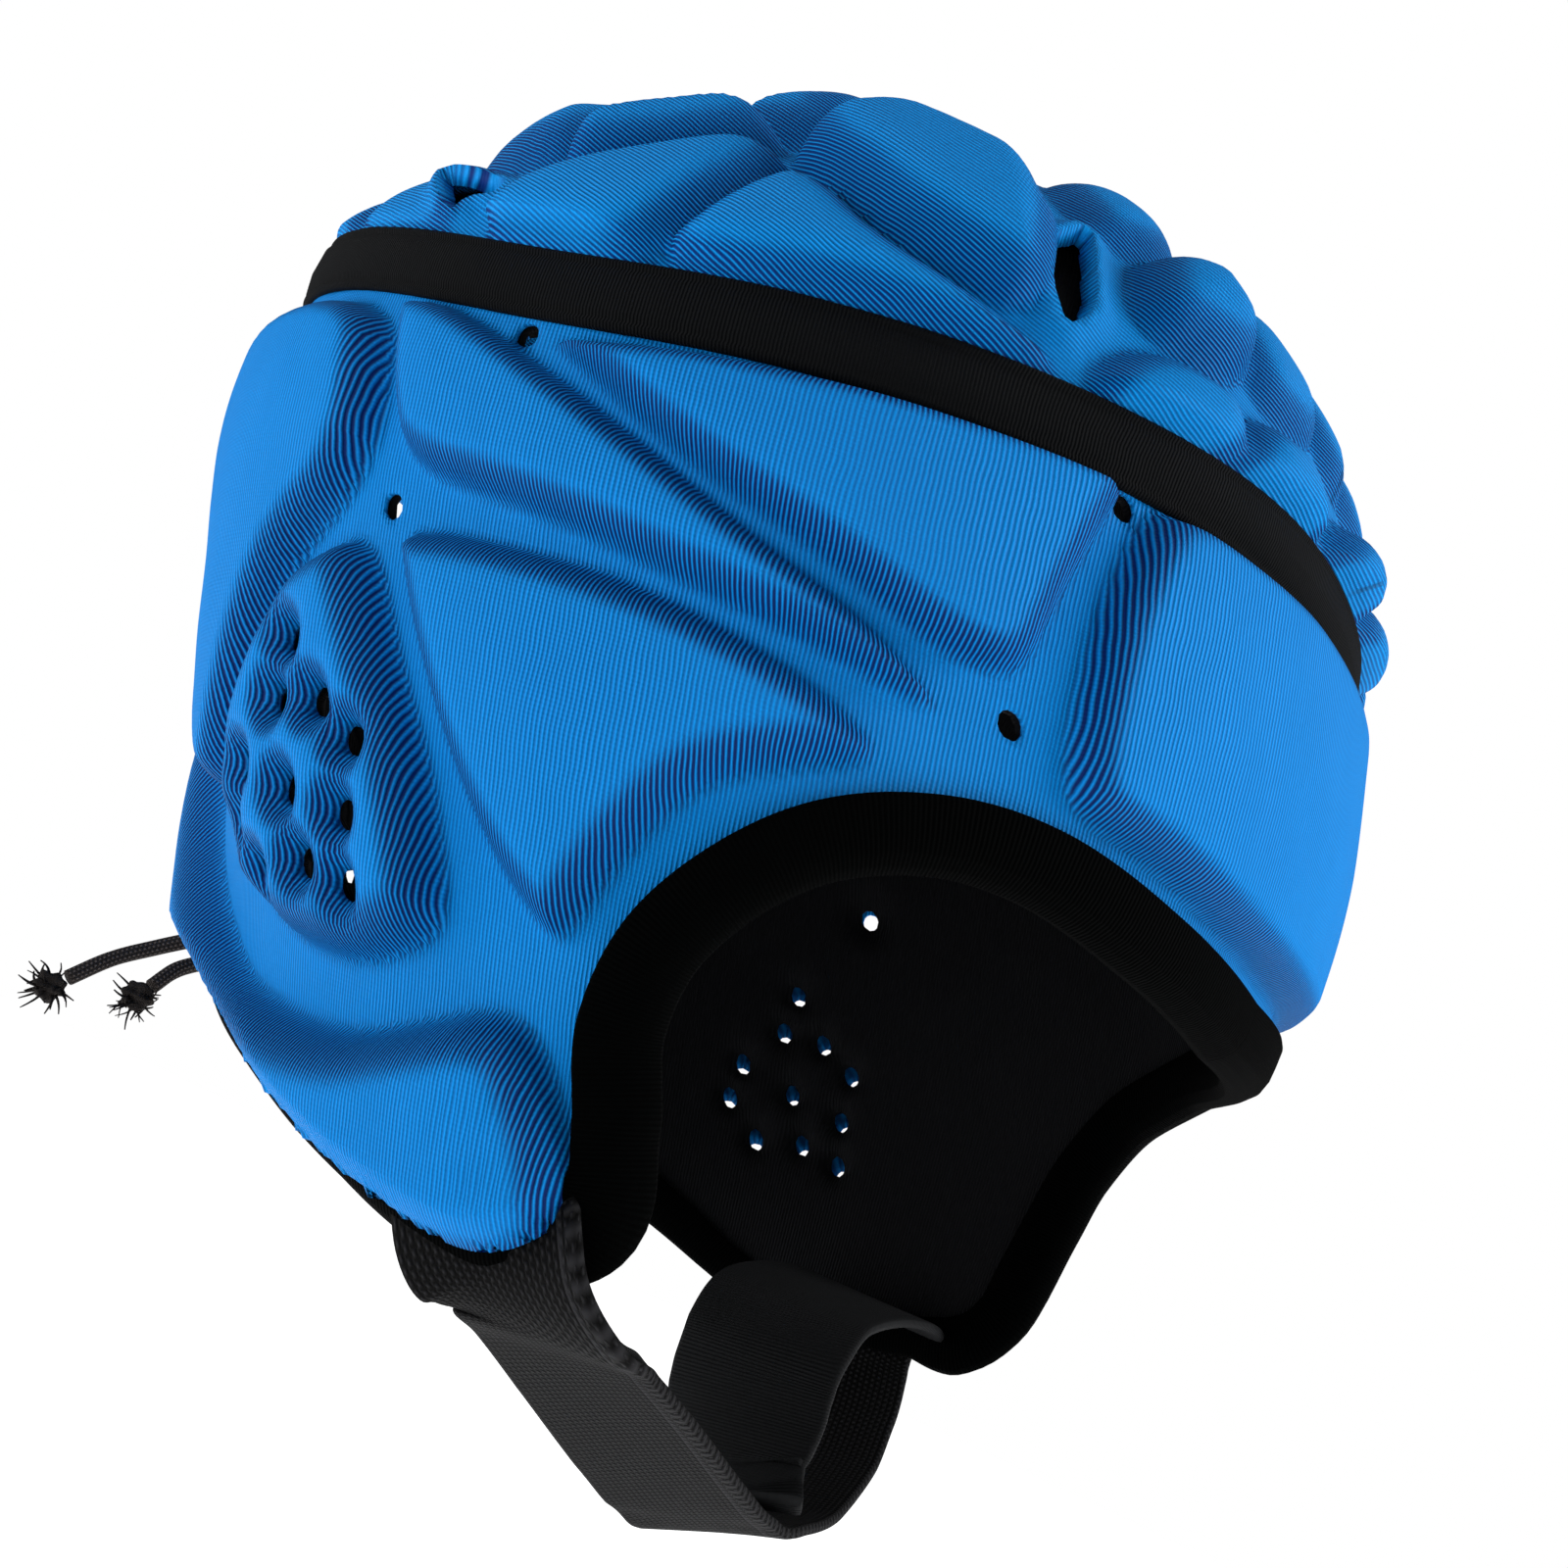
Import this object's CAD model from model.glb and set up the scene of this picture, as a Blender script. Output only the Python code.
# %% [markdown]
# # A soft, moulded sports cap in Blender
#
# A scrum cap is a curved wall of thin foam under ribbed knit, with thick pads moulded in it.
# It could be sculpted, or sewn from flat panels with a cloth simulation, but its pads are
# pressed in a heated mould: they keep crisp outlines and narrow flanks that cloth under
# pressure would round off. So the lesson builds the wall as a surface with two coordinates,
# azimuth and height. Pads, holes, edges, tape and binding are then all placed by these two
# numbers, and every piece lies on the same form.

# %% Load the fixed frame
import math

import bmesh
import bpy
import numpy as np
from mathutils import Matrix, Vector
from mathutils import noise as noise_field


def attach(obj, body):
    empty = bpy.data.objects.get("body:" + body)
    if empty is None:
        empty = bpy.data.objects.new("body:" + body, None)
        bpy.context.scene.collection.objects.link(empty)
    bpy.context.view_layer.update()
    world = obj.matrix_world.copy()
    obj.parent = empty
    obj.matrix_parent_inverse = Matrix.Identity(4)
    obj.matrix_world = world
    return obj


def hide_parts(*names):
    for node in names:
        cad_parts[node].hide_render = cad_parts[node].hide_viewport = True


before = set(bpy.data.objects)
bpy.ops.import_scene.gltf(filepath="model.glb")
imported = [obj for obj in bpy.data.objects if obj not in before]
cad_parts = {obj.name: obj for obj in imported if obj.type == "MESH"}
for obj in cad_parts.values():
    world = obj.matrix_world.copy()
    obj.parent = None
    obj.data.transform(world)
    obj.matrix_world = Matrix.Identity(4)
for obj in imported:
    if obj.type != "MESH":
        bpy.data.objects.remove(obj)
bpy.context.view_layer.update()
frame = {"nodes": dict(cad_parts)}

print("Nodes of the frame:", ", ".join(frame["nodes"]))

# %% [markdown]
# ## Sizes
# All sizes are in millimetres, and azimuth is in degrees from the front towards the wearer's
# right. Heights count from the seam between band and crown. Each size is written once here,
# so the cap can be made wider or deeper in one place. The horizontal sections are shares of
# these sizes, and a smooth curve runs through them from the seam down to the jaw.

# %% Named sizes
HALF_WIDTH = 97
HALF_LENGTH = 102
BAND_DEPTH = 150
CROWN_RISE = 67
CENTRE_BACK = 17
CROWN_LEAN = 8
REAR_DROP = 19
FRONT_LIFT = 2
SEAM_HEIGHT = -2
SEAM_SADDLE = 7
SECTION_POWER = 2.2
CROWN_POWER = 1.75
APEX = np.array([0, 9, 60.5])

WALL = 4
LINING_OUT = -4.6
PAD_RISE = 6.6
CROWN_PAD_RISE = 7.6
CROWN_SWELL = 2
TAPE_WIDTH = 12
BINDING_WIDTH = 9
BINDING_LOBE = np.array([-74.5, -44.5, -137])
HOLE_RADIUS = 2.1
CRATER_DEPTH = 6.2
CRATER_RADIUS = 3.6
LINING_THICK = 1.0
STRAP_WIDTH = 30
STRAP_THICK = 2.0
SOFT_WIDTH = 32
SOFT_THICK = 1.8
LACE_DIAMETER = 3
RIB_PITCH = 0.74
RIB_TILT = 20
TAPE_CLEAR = 6

# Depth share, half width, half length and centre shares of the horizontal sections.
SECTIONS = np.array([
    (0.0, 0.99, 1.0, 1.0), (0.21, 1.0, 1.0, 0.6), (0.43, 0.97, 0.94, 0.03),
    (0.61, 0.92, 0.89, -0.44), (0.83, 0.83, 0.81, -1.0), (1.0, 0.75, 0.75, -1.35),
    (1.2, 0.66, 0.68, -1.7)])

# %% [markdown]
# ## Pads
# On the real cap each pad is a plateau with a steep, narrow flank. It could be a mesh of its
# own, but then its foot would never meet the wall as moulded foam does. Here a pad is only an
# outline on the wall: azimuth and depth share on the band, azimuth and angle up the dome on
# the crown, with the share of the full rise that it stands out and the width of its flank.

# %% Pad outlines
BAND_PADS = [
    (1.0, 7, [(108, .1), (132, .09), (154, .13), (152, .28), (143, .42), (136, .57),
              (130, .64), (125, .62), (119.5, .48), (113, .385), (106, .32), (104, .24)]),
    (.9, 6, [(106, .1), (99, .1), (78, .19), (65, .25), (53, .29), (44, .345), (67, .325),
             (82, .305), (99, .29), (103, .21)]),
    (.85, 6, [(87, .12), (60, .075), (38, .03), (34, .03), (35, .06), (38, .17), (40, .27),
              (46, .29), (58, .25), (71, .21), (86, .13)]),
    (.85, 7, [(99, .355), (94, .34), (73, .335), (57, .36), (49, .4), (60, .46), (65, .5),
              (70, .58), (74, .66), (76, .67), (82, .63), (89, .55), (96, .43)]),
    (1.15, 9, [(103, .355), (112, .4), (117.5, .48), (121, .55), (122, .627), (120, .7),
               (113.5, .74), (106, .757), (98, .755), (90, .72), (87, .68), (91, .57),
               (97, .47)]),
    (1.25, 9, [(70, .84), (76, .75), (81, .745), (89, .78), (98, .815), (109, .82),
              (121, .8), (131, .73), (139, .66), (146, .54), (151, .42), (157, .31),
              (165, .29), (168, .34), (169, .6), (169, .8), (161, .83), (141, .86), (120, .92),
               (102, .97), (86, .99), (74, .97), (69, .92)]),
]
FOREHEAD = (.9, 7, [(0, -.01), (16, 0), (27, .01), (31, .03), (33, .08), (35, .19), (35, .31),
                    (33, .36), (24, .36), (12, .37), (0, .37), (-12, .37), (-24, .36),
                    (-33, .36), (-35, .31), (-35, .19), (-33, .08), (-31, .03), (-27, .01),
                    (-16, 0)])
CROWN_PADS = [
    (1.1, [(99, -5), (81, -6), (75, 14), (74, 22), (80, 24), (88, 16), (97, 6)]),
    (1.4, [(95, 14), (88, 18), (80, 26), (82, 35), (91, 31), (99, 20)]),
    (1.0, [(79, -6), (45, 2), (44, 6), (50, 8), (62, 12), (70, 19), (74, 18)]),
    (1.4, [(48, 12), (49, 24), (53, 34), (60, 36), (70, 38), (77, 30), (71, 22), (60, 14)]),
    (.8, [(39, 3), (29, 2), (24, 12), (27, 19), (36, 17), (40, 10)]),
    (.8, [(27, 3), (11, 2), (9, 12), (15, 21), (23, 19), (25, 12)]),
    (1.25, [(38, 21), (28, 22), (24, 28), (30, 38), (39, 32)]),
    (.65, [(44, 33), (35, 38), (30, 46), (40, 56), (51, 46)]),
    (.65, [(22, 24), (13, 25), (6, 32), (12, 46), (24, 42), (26, 33)]),
    (1.35, [(92, 36), (80, 38), (75, 46), (77, 58), (84, 60), (96, 48)]),
    (.65, [(82, 38), (66, 42), (57, 42), (55, 52), (66, 62), (82, 60)]),
    (.25, [(122, -3), (105, -4), (104, 12), (109, 21), (118, 20), (124, 12)]),
    (.4, [(145, 2), (126, -2), (127, 13), (122, 22), (136, 24), (145, 16)]),
    (.5, [(166, 3), (149, 3), (149, 17), (142, 26), (155, 28), (166, 20)]),
    (1.5, [(118, 27), (103, 24), (99, 44), (108, 60), (130, 56), (134, 30)]),
    (.55, [(172, 27), (140, 31), (138, 50), (150, 62), (172, 60)]),
]
CENTRE_PADS = [
    (1.0, [(8, 2), (7, 14), (0, 22), (-7, 14), (-8, 2)]),
    (.65, [(4, 28), (8, 44), (24, 50), (20, 62), (0, 66), (-20, 62), (-24, 50), (-8, 44),
           (-4, 28)]),
    (.8, [(190, 3), (188, 18), (180, 26), (172, 18), (170, 3)]),
]
TOP_PAD = [(-26, 66), (26, 66), (18, 80), (-18, 80)]
TOP_TURNS = [(30, .35), (90, 1.8), (150, .9), (210, .9), (270, 1.8), (330, .35)]

# Open notches in the crown: corners in azimuth and angle up the dome.
NOTCHES = [[(44.5, 12), (42.6, 17), (43.8, 24), (45.3, 34), (49, 27), (47.3, 18)],
           [(104, 1), (103.5, 5), (100, 6), (101, 10.5), (111, 11), (107.5, 5)]]
REAR_NOTCH = [(163, 21), (161, 32), (164, 45), (169, 35), (168, 22)]
SLIT_TOP = 15
SLIT_HALF = (9.5, 11.5)
VENTS = [(90, .12), (101, .327), (34, .053), (40, .313)]
EAR_HOLES = [(109, .48), (110, .54), (104, .533), (115, .607), (99, .56), (107, .62),
             (99, .627), (116, .66), (111, .7), (104, .68), (98, .687)]

# Lower edge of the blue wall: azimuth and depth share on the right, then on the left, where
# the worn flap is drawn up.
EDGE = [(0, .405, 0, .405), (18, .395, 18, .395), (34, .39, 34, .39), (46, .42, 43, .405),
        (57, .49, 54.5, .465), (67, .61, 61.5, .56), (71, .72, 64.5, .65), (70, .81, 66.5, .73),
        (70, .885, 68, .785), (78, .94, 73, .825), (92, .935, 88, .86),
        (106, .9, 106, .87), (121, .84, 121, .83), (140, .775, 140, .775),
        (160, .74, 160, .74), (180, .73, 180, .73)]

# %% [markdown]
# ## The wall as a surface
# One function turns azimuth and height into a point, so every later step only has to say
# where on the cap it works. A section is a superellipse, a little squarer than an ellipse,
# as a head is from above. The dome uses the same idea upright, and it sags behind, where no
# head fills the worn cap.

# %% Surface functions
ARC = HALF_WIDTH * math.pi / 180
DOME_ARC = (HALF_WIDTH + CROWN_RISE) * 0.72


def along(column, depth):
    """Smooth curve through one column of the sections."""
    keys, values = SECTIONS[:, 0], SECTIONS[:, column]
    steps = np.diff(values) / np.diff(keys)
    slopes = np.empty_like(values)
    slopes[0], slopes[-1] = steps[0], steps[-1]
    slopes[1:-1] = (values[2:] - values[:-2]) / (keys[2:] - keys[:-2])
    index = np.clip(np.searchsorted(keys, depth) - 1, 0, len(keys) - 2)
    span = keys[index + 1] - keys[index]
    t = (depth - keys[index]) / span
    return ((1 + 2 * t) * (1 - t) ** 2 * values[index]
            + t * (1 - t) ** 2 * span * slopes[index]
            + t * t * (3 - 2 * t) * values[index + 1]
            + t * t * (t - 1) * span * slopes[index + 1])


def seam_height(azimuth):
    """Height of the seam, which dips over the ears."""
    return SEAM_HEIGHT + SEAM_SADDLE * np.cos(2 * np.radians(azimuth))


def dome_height(angle):
    """Height of an angle up the dome."""
    return CROWN_RISE * np.sin(np.radians(np.clip(angle, 0, 90))) ** (2 / CROWN_POWER)


def dome_angle(height):
    """Angle up the dome of a height."""
    share = np.clip(np.asarray(height, float) / CROWN_RISE, 0, 1)
    return np.degrees(np.arcsin(share ** (CROWN_POWER / 2)))


def map_angle(height):
    """Angle up the dome, carried on below the seam's middle as a length."""
    return dome_angle(height) + np.minimum(height, 0) * 90 / DOME_ARC


def valley(azimuth, height):
    """Point of the wall between the pads, in millimetres from the seam's centre."""
    azimuth, height = np.broadcast_arrays(np.asarray(azimuth, float),
                                          np.asarray(height, float))
    depth = np.maximum(-height, 0) / BAND_DEPTH
    angle = np.radians(dome_angle(height))
    share = np.clip(height / CROWN_RISE, 0, 1)
    shrink = np.cos(angle) ** (2 / CROWN_POWER)
    side, front = np.sin(np.radians(azimuth)), np.cos(np.radians(azimuth))
    middle = CENTRE_BACK * along(3, depth) - CROWN_LEAN * share
    radius = shrink * (np.abs(side / (HALF_WIDTH * along(1, depth))) ** SECTION_POWER
                       + np.abs(front / (HALF_LENGTH * along(2, depth))) ** SECTION_POWER
                       ) ** (-1 / SECTION_POWER)
    sag = REAR_DROP * np.sin(2 * angle) ** 2 * np.clip((0.4 - front) / 1.2, 0, 1)
    sag = sag - FRONT_LIFT * np.sin(2 * angle) ** 2 * np.clip(front, 0, 1)
    return np.stack([-radius * side, middle - radius * front, height - sag], -1)


def outward(azimuth, height):
    """Outward direction of the wall."""
    low = np.minimum(height, CROWN_RISE * 0.995)
    step = np.minimum(0.5, (CROWN_RISE - low) / 4)
    round_it = valley(azimuth + 0.5, low) - valley(azimuth - 0.5, low)
    up_it = valley(azimuth, low + step) - valley(azimuth, low - step)
    normal = -np.cross(round_it, up_it)
    return normal / np.linalg.norm(normal, axis=-1, keepdims=True)


def raised(azimuth, height, out):
    """Point at a distance out of the wall."""
    return valley(azimuth, height) + outward(azimuth, height) * np.asarray(out)[..., None]


def metres(points):
    """Points in the row frame, in metres."""
    return (np.asarray(points, float) - APEX) * 0.001


# %% [markdown]
# ## Relief of the pads
# The outlines are rounded by cutting their corners. A pad rises from its edge over its flank
# and then swells a little towards its middle. The same distance to the outline says where
# the knit is stretched: its ribs open there and show darker, so the relief also returns the
# strength of the ribs, which the material reads as an attribute.

# %% Relief functions

def band_place(azimuth, depth):
    """Flat map of the band, in millimetres."""
    return np.stack([np.asarray(azimuth) * ARC, -np.asarray(depth) * BAND_DEPTH], -1)


def dome_place(azimuth, angle):
    """Flat map of the crown, in millimetres."""
    radius = (1 - np.asarray(angle) / 90) * DOME_ARC
    turn = np.radians(azimuth)
    return np.stack([radius * np.sin(turn), -radius * np.cos(turn)], -1)


def from_dome(places):
    """Azimuth and angle of places on the flat map of the crown."""
    radius = np.linalg.norm(places, axis=1)
    azimuth = np.degrees(np.arctan2(places[:, 0], -places[:, 1])) % 360
    return azimuth, (1 - radius / DOME_ARC) * 90


def rounded(corners, rounds=2):
    """Closed outline with its corners cut."""
    points = np.asarray(corners, float)
    for _ in range(rounds):
        after = np.roll(points, -1, 0)
        points = np.stack([points * .78 + after * .22, points * .22 + after * .78], 1)
        points = points.reshape(-1, 2)
    return points


def within(ring, points):
    """Whether each point lies inside a closed ring, by the even-odd rule."""
    odd = np.zeros(len(points), bool)
    for a, b in zip(ring, np.roll(ring, -1, 0)):
        crosses = (a[1] > points[:, 1]) != (b[1] > points[:, 1])
        if not crosses.any():
            continue
        at = (b[0] - a[0]) * (points[:, 1] - a[1]) / (b[1] - a[1]) + a[0]
        odd ^= crosses & (points[:, 0] < at)
    return odd


def nearest_on(outline, points):
    """Nearest place on a closed outline to each point, and its distance."""
    best = np.full(len(points), np.inf)
    nearest = points.copy()
    for a, b in zip(outline, np.roll(outline, -1, 0)):
        edge = b - a
        t = np.clip(((points - a) @ edge) / max(edge @ edge, 1e-9), 0, 1)
        spot = a + t[:, None] * edge
        gap = np.linalg.norm(points - spot, axis=1)
        nearest = np.where((gap < best)[:, None], spot, nearest)
        best = np.minimum(best, gap)
    return nearest, best


def inside(outline, points):
    """Distance from the outline of the points inside it, else minus the distance."""
    _, gap = nearest_on(outline, points)
    return np.where(within(outline, points), gap, -gap)


def flank_shape(distance, flank):
    """Rise of a pad: steep and crisp at the foot, round at the shoulder."""
    t = np.clip(distance / flank, 0, 1)
    return 1 - (1 - t) ** 2.4


def noise(azimuth, height, pitch, seed):
    """Soft noise over the surface, from -1 to 1."""
    spots = valley(azimuth, height) / pitch + seed * 13.7
    return np.array([noise_field.noise(Vector(spot)) for spot in spots])


def mirror(outline):
    """Outline of the other side."""
    return [(-a, b) for a, b in outline]


def band_pads():
    """Every band pad as rise, flank and rounded flat outline."""
    both = BAND_PADS + [(r, f, mirror(o)) for r, f, o in BAND_PADS] + [FOREHEAD]
    return [(rise, flank, rounded(band_place(*np.array(o).T))) for rise, flank, o in both]


def crown_pads():
    """Every crown pad as rise and rounded flat outline."""
    both = CROWN_PADS + [(r, mirror(o)) for r, o in CROWN_PADS] + CENTRE_PADS
    both += [(rise, [(a + turn, b) for a, b in TOP_PAD]) for turn, rise in TOP_TURNS]
    return [(rise, rounded(dome_place(*np.array(o).T))) for rise, o in both]


def wrapped(azimuth):
    """Azimuth from -180 to 180."""
    return (np.asarray(azimuth) + 180) % 360 - 180


def band_relief(azimuth, height):
    """Height of the padding and strength of the fabric's ribs, for each point of the band."""
    turn = wrapped(azimuth)
    points = np.stack([turn * ARC, height], -1)
    rise = np.zeros(len(points))
    ribs = np.full(len(points), 0.45)
    for share, flank, outline in band_pads():
        near = ((points >= outline.min(0) - 8) & (points <= outline.max(0) + 8)).all(1)
        distance = inside(outline, points[near])
        dome = 0.9 * (1 - np.exp(-np.clip(distance, 0, None) / 12))
        pad = PAD_RISE * share * flank_shape(distance, flank) + dome
        rise[near] = np.maximum(rise[near], np.where(distance > 0, pad, 0))
        flank_band = np.exp(-((distance - flank * 0.35) / (flank * 0.55)) ** 2)
        ribs[near] = np.maximum(ribs[near], flank_band)
    for azimuth_hole, depth in EAR_HOLES:
        for side in (1, -1):
            centre = band_place(side * azimuth_hole, depth)
            far = np.linalg.norm(points - centre, axis=1)
            rise -= CRATER_DEPTH * np.exp(-(far / CRATER_RADIUS) ** 2)
            ribs = np.maximum(ribs, np.exp(-((far - 4) / 2.5) ** 2))
    fade = np.clip((seam_height(azimuth) - height - TAPE_CLEAR) / 2, 0, 1)
    rise = rise * fade + 0.35 * noise(azimuth, height, 17, 1)
    return rise, ribs


# The fan of fine wrinkles: azimuth at its top, depth shares of its top, middle and half
# height, lean, half width, pitch and depth of the wrinkles.
FAN_AZIMUTH = 78.5
FAN_TOP = .76
FAN_MIDDLE = .83
FAN_HALF_HEIGHT = .085
FAN_LEAN = 13
FAN_HALF_WIDTH = 8
FAN_PITCH = 2.1
FAN_DEPTH = .55


def jaw_wrinkles(azimuth, height):
    """Fan of fine wrinkles at the front of the jaw pads."""
    depth = -height / BAND_DEPTH
    middle = FAN_AZIMUTH - FAN_LEAN * (depth - FAN_TOP)
    across = (np.abs(wrapped(azimuth)) - middle) * ARC * .8
    window = (np.exp(-(across / FAN_HALF_WIDTH) ** 2)
              * np.exp(-((depth - FAN_MIDDLE) / FAN_HALF_HEIGHT) ** 4))
    return -FAN_DEPTH * window * (0.5 + 0.5 * np.cos(2 * math.pi * across / FAN_PITCH))


def crown_relief(azimuth, height):
    """Height of the lobes and strength of the fabric's ribs, for each point of the crown."""
    points = dome_place(azimuth, map_angle(height))
    rise = np.zeros(len(points))
    ribs = np.full(len(points), 0.55)
    for share, outline in crown_pads():
        near = ((points >= outline.min(0) - 8) & (points <= outline.max(0) + 8)).all(1)
        distance = inside(outline, points[near])
        distance = distance + CROWN_SWELL
        pad = CROWN_PAD_RISE * share * flank_shape(distance, 11)
        rise[near] = np.maximum(rise[near], np.where(distance > 0, pad, 0))
        flank_band = np.exp(-((distance - 2.5) / 5) ** 2)
        ribs[near] = np.maximum(ribs[near], flank_band)
    fade = np.clip((height - seam_height(azimuth) - TAPE_CLEAR) / 2, 0, 1)
    return rise * fade + 0.3 * noise(azimuth, height, 15, 2), ribs


# %% [markdown]
# ## Mesh helpers
# A skin is a grid of points on the wall, and a strap, tape or cord is a section carried along
# a curve. Both get a flat map in real millimetres, so a weave has its true scale whatever
# the piece's size. Every finished piece is printed with its face count.

# %% Mesh helpers
def new_object(name, points, faces, coordinates=None, ribs=None):
    """Smooth mesh object with a flat map in metres and the strength of its ribs."""
    mesh = bpy.data.meshes.new(name)
    mesh.from_pydata(metres(points).tolist(), [], [tuple(f) for f in faces])
    mesh.update()
    if coordinates is not None:
        layer = mesh.uv_layers.new(name="flat_map")
        corners = np.zeros(len(mesh.loops), int)
        mesh.loops.foreach_get("vertex_index", corners)
        layer.data.foreach_set("uv", (np.asarray(coordinates)[corners] * .001).ravel())
    if ribs is not None:
        layer = mesh.attributes.new("ribs", "FLOAT", "POINT")
        layer.data.foreach_set("value", np.asarray(ribs, float))
    for polygon in mesh.polygons:
        polygon.use_smooth = True
    thing = bpy.data.objects.new(name, mesh)
    bpy.context.scene.collection.objects.link(thing)
    return thing


def grid_faces(rows, columns, closed):
    """Quads of a grid whose columns may close on themselves, facing out."""
    row, column = np.meshgrid(np.arange(rows - 1), np.arange(columns if closed
                              else columns - 1), indexing="ij")
    right = (column + 1) % columns
    corners = [row * columns + column, (row + 1) * columns + column,
               (row + 1) * columns + right, row * columns + right]
    return np.stack(corners, -1).reshape(-1, 4)


def run_of(points):
    """Length along a run of points, at each of them."""
    return np.concatenate([[0], np.cumsum(np.linalg.norm(np.diff(points, axis=0), axis=1))])


def smooth_curve(points, count, closed=False):
    """Evenly spaced points on a smooth curve through the given points."""
    points = np.asarray(points, float)
    if closed:
        padded = np.concatenate([points[-2:], points, points[:3]])
    else:
        first, last = 2 * points[0] - points[1], 2 * points[-1] - points[-2]
        padded = np.concatenate([[first], points, [last, last]])
    spans = len(points) if closed else len(points) - 1
    offset = 1 if closed else 0
    dense = []
    for span in range(spans):
        p0, p1, p2, p3 = padded[span + offset:span + offset + 4]
        for t in np.linspace(0, 1, 24, endpoint=False):
            dense.append(0.5 * (2 * p1 + (p2 - p0) * t
                                + (2 * p0 - 5 * p1 + 4 * p2 - p3) * t * t
                                + (3 * p1 - p0 - 3 * p2 + p3) * t ** 3))
    dense.append(points[0] if closed else points[-1])
    dense = np.array(dense)
    run = run_of(dense)
    wanted = np.linspace(0, run[-1], count, endpoint=not closed)
    return np.stack([np.interp(wanted, run, dense[:, i]) for i in range(dense.shape[1])], -1)


def tangents(points, closed=False):
    """Unit directions along a run of points."""
    if closed:
        along_it = np.roll(points, -1, 0) - np.roll(points, 1, 0)
    else:
        along_it = np.gradient(points, axis=0)
    return along_it / np.linalg.norm(along_it, axis=-1, keepdims=True)


def unit(vectors):
    """Vectors of length one."""
    return vectors / np.linalg.norm(vectors, axis=-1, keepdims=True)


def section_faces(count, size, closed):
    """Faces between rings of points, with a cap at each end of an open run."""
    faces = []
    for step in range(count if closed else count - 1):
        here, after = step * size, (step + 1) % count * size
        for i in range(size):
            j = (i + 1) % size
            faces.append((here + i, after + i, after + j, here + j))
    if not closed:
        faces.append(tuple(range(size)))
        faces.append(tuple((count - 1) * size + i for i in range(size))[::-1])
    return faces


def section_map(mesh, rings, closed):
    """Flat map of a swept piece: the length along it and the girth round its section."""
    size = rings.shape[1]
    centre = rings.mean(1)
    run = run_of(centre)
    total = run[-1] + (np.linalg.norm(centre[0] - centre[-1]) if closed else 0)
    girth = run_of(np.concatenate([rings[0], rings[0][:1]]))
    layer = mesh.uv_layers.new(name="flat_map")
    loop = 0
    for polygon in mesh.polygons:
        wall = len(polygon.vertices) == 4
        for corner, index in enumerate(polygon.vertices):
            step, i = divmod(index, size)
            closes_run = wall and closed and step == 0 and corner in (1, 2)
            closes_girth = wall and i == 0 and corner in (2, 3)
            u = total if closes_run else run[step]
            v = girth[size] if closes_girth else girth[i]
            layer.data[loop].uv = (u * .001, v * .001)
            loop += 1


def sweep(name, rings, closed):
    """Object from rings of points; an open one is closed by caps."""
    rings = np.asarray(rings)
    count, size = rings.shape[:2]
    thing = new_object(name, rings.reshape(-1, 3), section_faces(count, size, closed))
    section_map(thing.data, rings, closed)
    tidy_faces(thing)
    return thing


def tidy_faces(thing):
    """Turns all faces of a closed piece outward."""
    mesh = bmesh.new()
    mesh.from_mesh(thing.data)
    bmesh.ops.recalc_face_normals(mesh, faces=mesh.faces)
    mesh.to_mesh(thing.data)
    mesh.free()


def finish_piece(thing, material, node=None):
    """Gives a piece its material, its body and the CAD node it stands for."""
    thing.data.materials.clear()
    thing.data.materials.append(material)
    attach(thing, "root")
    if node:
        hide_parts(node)
    print(thing.name, "stands for", node, "with", len(thing.data.polygons), "faces")


# %% [markdown]
# ## Materials
# The blue cover is a ribbed polyester knit: matt, with fine upright ribs 0.74 mm apart that
# open up, darker between, where the fabric is stretched over a flank. The trim is black
# stretch knit, the tape and the strap are woven, and the cord is braided. Every pattern is a
# sine of a length on the flat map, which stays sharp at any distance and needs no image. The
# colours are those of the fabric in even light, as hex values that one function turns
# linear, because Blender's shaders add light in linear colour.

# %% Materials
def linear(code):
    """Linear colour of a hex sRGB code."""
    parts = [int(code[i:i + 2], 16) / 255 for i in (0, 2, 4)]
    return tuple(c / 12.92 if c <= .04045 else ((c + .055) / 1.055) ** 2.4
                 for c in parts) + (1,)


def add(nodes, kind, **values):
    """Shader node with its inputs or properties set."""
    made = nodes.new(kind)
    for key, value in values.items():
        if key.startswith("in_"):
            index = key[3:]
            made.inputs[int(index) if index.isdigit() else index].default_value = value
        else:
            setattr(made, key, value)
    return made


def calculate(tree, operation, first, second=None, third=None):
    """Math node fed by sockets or numbers."""
    node = tree.nodes.new("ShaderNodeMath")
    node.operation = operation
    for index, value in enumerate((first, second, third)):
        if value is None:
            continue
        if isinstance(value, (int, float)):
            node.inputs[index].default_value = value
        else:
            tree.links.new(value, node.inputs[index])
    return node.outputs[0]


def blend_colour(tree, factor, first, second):
    """Mixture of two colours or colour sockets."""
    node = tree.nodes.new("ShaderNodeMix")
    node.data_type = "RGBA"
    for socket, value in ((node.inputs[0], factor), (node.inputs[6], first),
                          (node.inputs[7], second)):
        if isinstance(value, (int, float, tuple)):
            socket.default_value = value
        else:
            tree.links.new(value, socket)
    return node.outputs[2]


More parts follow.
